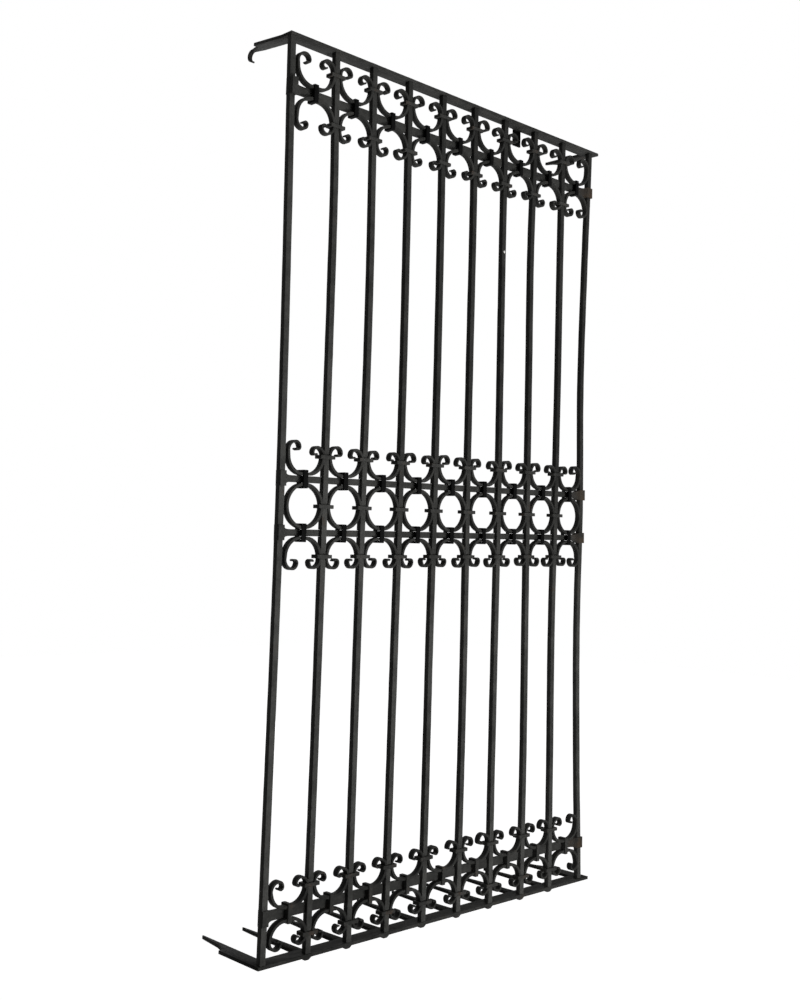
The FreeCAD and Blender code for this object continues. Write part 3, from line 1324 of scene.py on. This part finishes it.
@dataclass
class CScroll:
    """A C-scroll of flat iron, modelled with the middle of its back at the origin."""

    layout: Layout
    left: Curl
    right: Curl
    step: float = 12.0
    edge: float = 2.1
    taper: float = 0.86

    def model(self, name: str) -> bpy.types.Object:
        """Sweep both halves of the scroll from strips of iron, join and soften them.

        Args:
            name: name of the new object.

        Returns:
            The whole scroll, opening upwards.
        """
        halves = [self._half(self.left), self._half(self.right)]
        with editing(halves[1]):
            bpy.ops.mesh.select_all(action="SELECT")
            resize((-1.0, 1.0, 1.0), (0.0, 0.0, 0.0))
        piece = join(halves, name)
        outwards(piece)
        soften_round(piece, self.edge)
        return piece

    def _half(self, curl: Curl) -> bpy.types.Object:
        """Sweep the left half of a scroll, open in the middle of its back.

        Args:
            curl: the sizes of the half.

        Returns:
            The half.
        """
        lay = self.layout
        front, flat = lay.ribbon_front, curl.half - curl.back
        piece = add_block("half", (-flat, front, 0.0), (0.0, front + lay.ribbon_deep, lay.ribbon))
        with editing(piece):
            select_faces(piece, facing(0, 1))
            bpy.ops.mesh.delete(type="ONLY_FACE")
            select_faces(piece, facing(0, -1))
            self._sweep(90.0, (-flat, curl.back))
            if curl.flank:
                extrude((0.0, 0.0, curl.flank))
            x, z, heading = -curl.half, curl.back + curl.flank, 0.0
            for radius, degrees in curl.turns:
                thin = (self.taper, 1.0, 1.0) if heading % 180.0 == 0.0 else (1.0, 1.0, self.taper)
                resize(thin, (x, 0.0, z))
                angle = math.radians(heading)
                centre = (x + radius * math.cos(angle), z - radius * math.sin(angle))
                self._sweep(degrees, centre)
                heading += degrees
                angle = math.radians(heading)
                x, z = centre[0] - radius * math.cos(angle), centre[1] + radius * math.sin(angle)
        return piece

    def _sweep(self, degrees: float, centre: Pair) -> None:
        """Turn the end of the strip about a line across the grille."""
        steps = max(3, round(degrees / self.step))
        turn(steps, -degrees, (centre[0], 0.0, centre[1]), (0.0, 1.0, 0.0))


# curls that are bent otherwise, by row, side of it, bay and side of the scroll
ODD_CURLS: dict[tuple[Row, Way, int, int], dict[str, float]] = {
    (Row.UPPER, Way.ABOVE, 0, 0): {"flank": 11.5},
    (Row.BOTTOM, Way.ABOVE, 4, 1): {"last": 30.0},
    (Row.BOTTOM, Way.ABOVE, 5, 1): {"radius": 28.0},
}


@dataclass
class ScrollRow:
    """A row of C-scrolls on one side of a cross-bar, one in each bay.

    Attributes:
        layout: the places that the pieces share.
        row: the cross-bar.
        way: the side of it.
        reach: how much longer its left and right sides are than the layout's flank.
        radius: radius of the first turn of its curls.
        growth: how much longer the sides are from bay to bay.
        spread: largest change of a curl's size, as a share.
        last: least and largest angle of a curl's last turn, in degrees.
    """

    layout: Layout
    row: Row
    way: Way
    reach: Pair = (0.0, 0.0)
    radius: float = 24.0
    growth: float = 0.0
    spread: float = 0.06
    last: Pair = (130.0, 165.0)

    def build(self) -> None:
        """Model the scrolls, set them in their bays and dress the row."""
        lay = self.layout
        found = []
        for index in range(lay.bays):
            middle, half = lay.bay_span(index, lay.widest(self.row, self.way, lay.bar_x(index)))
            z = lay.row_z(self.row, middle) + self.way.value * lay.seat(self.row)
            model = CScroll(lay, *(self._curl(index, side, half) for side in (0, 1))).model("scroll")
            found.append(copy_to(model, (middle, 0.0, z), 0.0 if self.way is Way.ABOVE else 180.0))
            drop(model)
        node = "scrolls_%s_%s" % (self.row.value, self.way.name.lower())
        dress(join(found, node + "_forged"), SCROLL_IRON, "scrollwork", node)

    def _curl(self, index: int, side: int, half: float) -> Curl:
        """Choose one curl, a little different from its neighbours as forged work is.

        Args:
            index: the bay.
            side: 0 for the curl that is on the left when the scroll opens upwards, 1 for the other.
            half: distance from the middle of the back to the outside of the curl.

        Returns:
            The curl.
        """
        lay = self.layout
        chance = random.Random("%s %s %d %d" % (self.row.value, self.way.name, index, side))
        share = chance.uniform(-self.spread, self.spread)
        flank = lay.flank(self.row) + self.reach[side if self.way is Way.ABOVE else 1 - side]
        flank += self.growth * index
        flank = max(0.0, flank + self.radius * share)
        radius = self.radius * (1.0 + chance.uniform(-self.spread, self.spread))
        curl = Curl(half, lay.back(self.row), flank, radius, chance.uniform(*self.last))
        return replace(curl, **ODD_CURLS.get((self.row, self.way, index, side), {}))


@dataclass
class RingRow:
    """Rings between the middle pair of cross-bars."""

    layout: Layout
    steps: int = 44
    sliver: float = 0.2
    edge: float = 1.3

    def build(self) -> None:
        """Model the rings and dress them as one row."""
        lay = self.layout
        found = []
        for index in range(lay.bays):
            middle, half = lay.bay_span(index, lay.ring_z(lay.bar_x(index)))
            model = self._ring(half)
            found.append(copy_to(model, (middle, 0.0, lay.ring_z(middle))))
            drop(model)
        dress(join(found, "rings_forged"), SCROLL_IRON, "scrollwork", "rings")

    def _ring(self, half: float) -> bpy.types.Object:
        """Sweep the outline of a strip of iron round the origin.

        Args:
            half: half of the ring's width; its height is the layout's.

        Returns:
            The ring.
        """
        lay = self.layout
        tall = lay.ring_tall / 2
        front = lay.ribbon_front
        piece = add_block("ring", (-self.sliver, front, tall - lay.ribbon),
                          (0.0, front + lay.ribbon_deep, tall))
        section = facing(0, 1)
        with editing(piece):
            select_faces(piece, lambda face: not section(face))
            bpy.ops.mesh.delete(type="FACE")
            bpy.ops.mesh.select_all(action="SELECT")
            bpy.ops.mesh.delete(type="ONLY_FACE")
            bpy.ops.mesh.select_mode(type="EDGE")
            bpy.ops.mesh.select_all(action="SELECT")
            turn(self.steps, 360.0, (0.0, 0.0, 0.0), (0.0, 1.0, 0.0))
            bpy.ops.mesh.select_all(action="SELECT")
            resize((half / tall, 1.0, 1.0), (0.0, 0.0, 0.0))
        outwards(piece)
        soften_round(piece, self.edge)
        return piece


@dataclass
class Collars:
    """Collars with a core on the cross-bars, and clips on the upright bars."""

    layout: Layout
    collar_wide: float = 12.0
    collar_wall: float = 3.0
    collar_cap: float = 3.5
    black_wide: float = 14.0
    black_cap: float = 6.0
    black_shift: float = -3.0
    core_inset: float = 0.3
    core_proud: float = 0.5
    core_narrow: float = 5.0
    clip_tall: float = 9.0
    clip_wall: float = 3.0
    clip_cheek: float = 8.0
    edge: float = 2.2

    def build(self) -> None:
        """Model and dress all the collars and clips."""
        for row in Row:
            self._collar_row(row)
        self._clip_row("clips_rings", self.layout.ring_z)
        for row, way in ((Row.TOP, Way.ABOVE), (Row.TOP, Way.BELOW), (Row.UPPER, Way.ABOVE),
                         (Row.LOWER, Way.BELOW), (Row.BOTTOM, Way.ABOVE), (Row.BOTTOM, Way.BELOW)):
            name = "clips_%s_%s" % (row.value, way.name.lower())
            self._clip_row(name, lambda x, r=row, w=way: self.layout.widest(r, w, x))

    def _collar_row(self, row: Row) -> None:
        """Set a collar in the middle of each bay of a cross-bar.

        Args:
            row: the cross-bar.
        """
        lay = self.layout
        tall = lay.seat(row) + lay.ribbon + lay.fit
        plain = row is Row.BOTTOM
        half = (self.collar_wide if plain else self.black_wide) / 2
        cap = self.black_cap if row in (Row.UPPER, Row.LOWER) else self.collar_cap
        inner = ((-half, lay.ribbon_front - lay.fit, -tall), (half, lay.cross_back + lay.fit, tall))
        band = self._band("collar", inner, Axis.X, (0.0, self.collar_wall, cap), self.edge)
        left = -half + self.core_inset if plain else half - self.core_narrow
        reach = lay.seat(row) - lay.fit
        core = add_block("core", (left, inner[0][1] - self.core_proud, -reach),
                         (half - self.core_inset, lay.cross_front - lay.fit, reach))
        model = join([band, core], "collar")
        found = []
        for index in range(lay.bays):
            middle = lay.bay_span(index, lay.row_z(row, lay.bar_x(index)))[0]
            place = middle if plain else middle + self.black_shift
            found.append(copy_to(model, (place, 0.0, lay.row_z(row, middle))))
        drop(model)
        node = "collars_" + row.value
        dress(join(found, node + "_forged"), COLLAR_IRON if plain else BLACK_IRON, "collars", node)

    def _clip_row(self, node: str, height: Callable[[float], float]) -> None:
        """Set a clip on each inner bar.

        Args:
            node: frame node that the clips stand for.
            height: gives the level of a clip for the place of its bar.
        """
        lay = self.layout
        side = lay.bar / 2 + 2 * lay.fit + lay.ribbon
        half = self.clip_tall / 2
        back = max(lay.ribbon_front + lay.ribbon_deep, lay.front + lay.bar) + lay.fit
        inner = ((-side, lay.ribbon_front - lay.fit, -half), (side, back, half))
        model = self._band("clip", inner, Axis.Z, (self.clip_cheek, self.clip_wall, 0.0), self.edge)
        found = []
        for index in range(1, lay.bar_count - 1):
            z = height(lay.bar_x(index))
            found.append(copy_to(model, (lay.bar_at(index, z), 0.0, z)))
        drop(model)
        dress(join(found, node + "_forged"), COLLAR_IRON, "collars", node)

    @staticmethod
    def _band(name: str, inner: tuple[Point, Point], axis: Axis, walls: Point,
              edge: float) -> bpy.types.Object:
        """Model a band of iron round an opening.

        Args:
            name: name of the new object.
            inner: corners of the opening.
            axis: direction that the opening runs in.
            walls: thickness of the band along each axis, 0 along the opening.
            edge: rounding of the edges.

        Returns:
            The band, round the origin.
        """
        low = [a - w for a, w in zip(inner[0], walls)]
        high = [a + w for a, w in zip(inner[1], walls)]
        band = add_block(name, low, high)
        middle = [(a + b) / 2 for a, b in zip(low, high)]
        thin = min(w for w in walls if w)
        with editing(band):
            ends = facing(axis.value, 1), facing(axis.value, -1)
            select_faces(band, lambda f: ends[0](f) or ends[1](f))
            bpy.ops.mesh.inset(thickness=thin * MM, use_individual=True)
            keep = [(b - a) / (d - c - 2 * thin) if w else 1.0
                    for a, b, c, d, w in zip(inner[0], inner[1], low, high, walls)]
            resize(keep, middle)
            bpy.ops.mesh.bridge_edge_loops()
        outwards(band)
        soften_round(band, edge)
        return band


# studio


@dataclass(frozen=True)
class Lamp:
    """A square soft lamp.

    Attributes:
        name: its name.
        place: its middle.
        aim: the point it faces.
        size: length of its sides.
        power: watts.
    """

    name: str
    place: Point
    aim: Point
    size: float
    power: float

    def build(self) -> None:
        """Add the lamp and turn it to its aim."""
        clear_selection()
        bpy.ops.object.light_add(type="AREA", location=metres(self.place))
        lamp = bpy.context.object
        lamp.name = self.name
        lamp.data.size = self.size * MM
        lamp.data.energy = self.power
        way = Vector([a * MM - b for a, b in zip(self.aim, lamp.location)])
        lamp.rotation_euler = way.to_track_quat("-Z", "Y").to_euler()


@dataclass
class Studio:
    """Pale floor, soft light and the camera of the photograph.  The fade of the floor is in metres."""

    floor_z: float = -300.0
    floor_half: float = 9000.0
    white: Colour = (1.0, 1.0, 1.0)
    world_level: float = 0.035
    floor_colour: float = 0.60
    floor_glow: Pair = (0.93, 1.0)
    floor_fade: Pair = (1.6, 4.0)
    lamps: tuple[Lamp, ...] = (
        Lamp("front", (-600.0, -6000.0, 300.0), (0.0, -140.0, 800.0), 4000.0, 90.0),
        Lamp("top", (600.0, -3600.0, 5200.0), (0.0, -140.0, 1000.0), 4000.0, 32.0),
        Lamp("low", (200.0, -2600.0, 150.0), (0.0, -140.0, 1600.0), 1100.0, 56.0),
        Lamp("back", (1600.0, 5000.0, 500.0), (0.0, -140.0, 1000.0), 3000.0, 60.0),
    )
    camera_place: Point = (-2328.2, -2349.0, 958.1)
    camera_turn: Point = (95.5564, -1.7206, -44.2656)
    sensor: float = 36.0
    lens: float = 43.675
    shift_y: float = -0.0766

    def build(self) -> None:
        """Set up floor, light and camera."""
        self._floor()
        self._world()
        for lamp in self.lamps:
            lamp.build()
        self._camera()
        bpy.context.scene.view_settings.view_transform = "Standard"

    def _floor(self) -> None:
        """Lay the floor."""
        clear_selection()
        middle = (0.0, 0.0, self.floor_z * MM)
        bpy.ops.mesh.primitive_plane_add(size=2 * self.floor_half * MM, location=middle)
        floor = bpy.context.object
        floor.name = "floor"
        settle()
        floor.data.materials.append(self._floor_paint())

    def _floor_paint(self) -> bpy.types.Material:
        """Pale paint that keeps the shadow near the grille and is white further out.

        Returns:
            The material.
        """
        material = bpy.data.materials.new("pale_floor")
        material.use_nodes = True
        wire = Wiring(material.node_tree)
        wire.tree.nodes.clear()
        away = wire.add("VectorMath", {0: wire.place()}, operation="LENGTH").outputs["Value"]
        span = {"From Min": self.floor_fade[0], "From Max": self.floor_fade[1],
                "To Min": self.floor_glow[0], "To Max": self.floor_glow[1]}
        level = wire.add("MapRange", {"Value": away, **span}).outputs["Result"]
        strength = wire.math("MULTIPLY", level, wire.seen())
        plain = wire.add("BsdfDiffuse", {"Color": (*(self.floor_colour,) * 3, 1.0)})
        glow = wire.add("Emission", {"Color": (*self.white, 1.0), "Strength": strength})
        both = wire.add("AddShader", {0: plain.outputs["BSDF"], 1: glow.outputs["Emission"]})
        wire.add("OutputMaterial", {"Surface": both.outputs["Shader"]})
        return material

    def _world(self) -> None:
        """White backdrop with a low even light."""
        world = bpy.data.worlds.new("studio")
        bpy.context.scene.world = world
        world.use_nodes = True
        wire = Wiring(world.node_tree)
        sockets = world.node_tree.nodes["Background"].inputs
        wire.feed(sockets["Color"], (*self.white, 1.0))
        wire.feed(sockets["Strength"], wire.between(wire.seen(), self.world_level, 1.0))

    def _camera(self) -> None:
        """Put the camera where the photograph was taken from."""
        clear_selection()
        bpy.ops.object.camera_add(location=metres(self.camera_place),
                                  rotation=[math.radians(a) for a in self.camera_turn])
        camera = bpy.context.object
        camera.data.sensor_width = self.sensor
        camera.data.lens = self.lens
        camera.data.shift_y = self.shift_y
        bpy.context.scene.camera = camera


def main() -> None:
    """Build the grille around its frame, piece by piece."""
    logging.basicConfig(level=logging.INFO, format="%(message)s")
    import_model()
    layout = Layout()
    Rails(layout).build()
    Anchors(layout).build()
    Uprights(layout).build()
    CrossBars(layout).build()
    ScrollRow(layout, Row.TOP, Way.ABOVE, reach=(4.0, 4.0), radius=26.0).build()
    ScrollRow(layout, Row.TOP, Way.BELOW, reach=(9.0, 1.5), growth=-0.9).build()
    ScrollRow(layout, Row.UPPER, Way.ABOVE, reach=(3.5, 3.0)).build()
    ScrollRow(layout, Row.LOWER, Way.BELOW, reach=(6.0, 6.0), growth=-0.4).build()
    ScrollRow(layout, Row.BOTTOM, Way.ABOVE, growth=0.7).build()
    ScrollRow(layout, Row.BOTTOM, Way.BELOW, radius=22.0).build()
    RingRow(layout).build()
    Collars(layout).build()
    Studio().build()


if __name__ == "__main__":
    main()
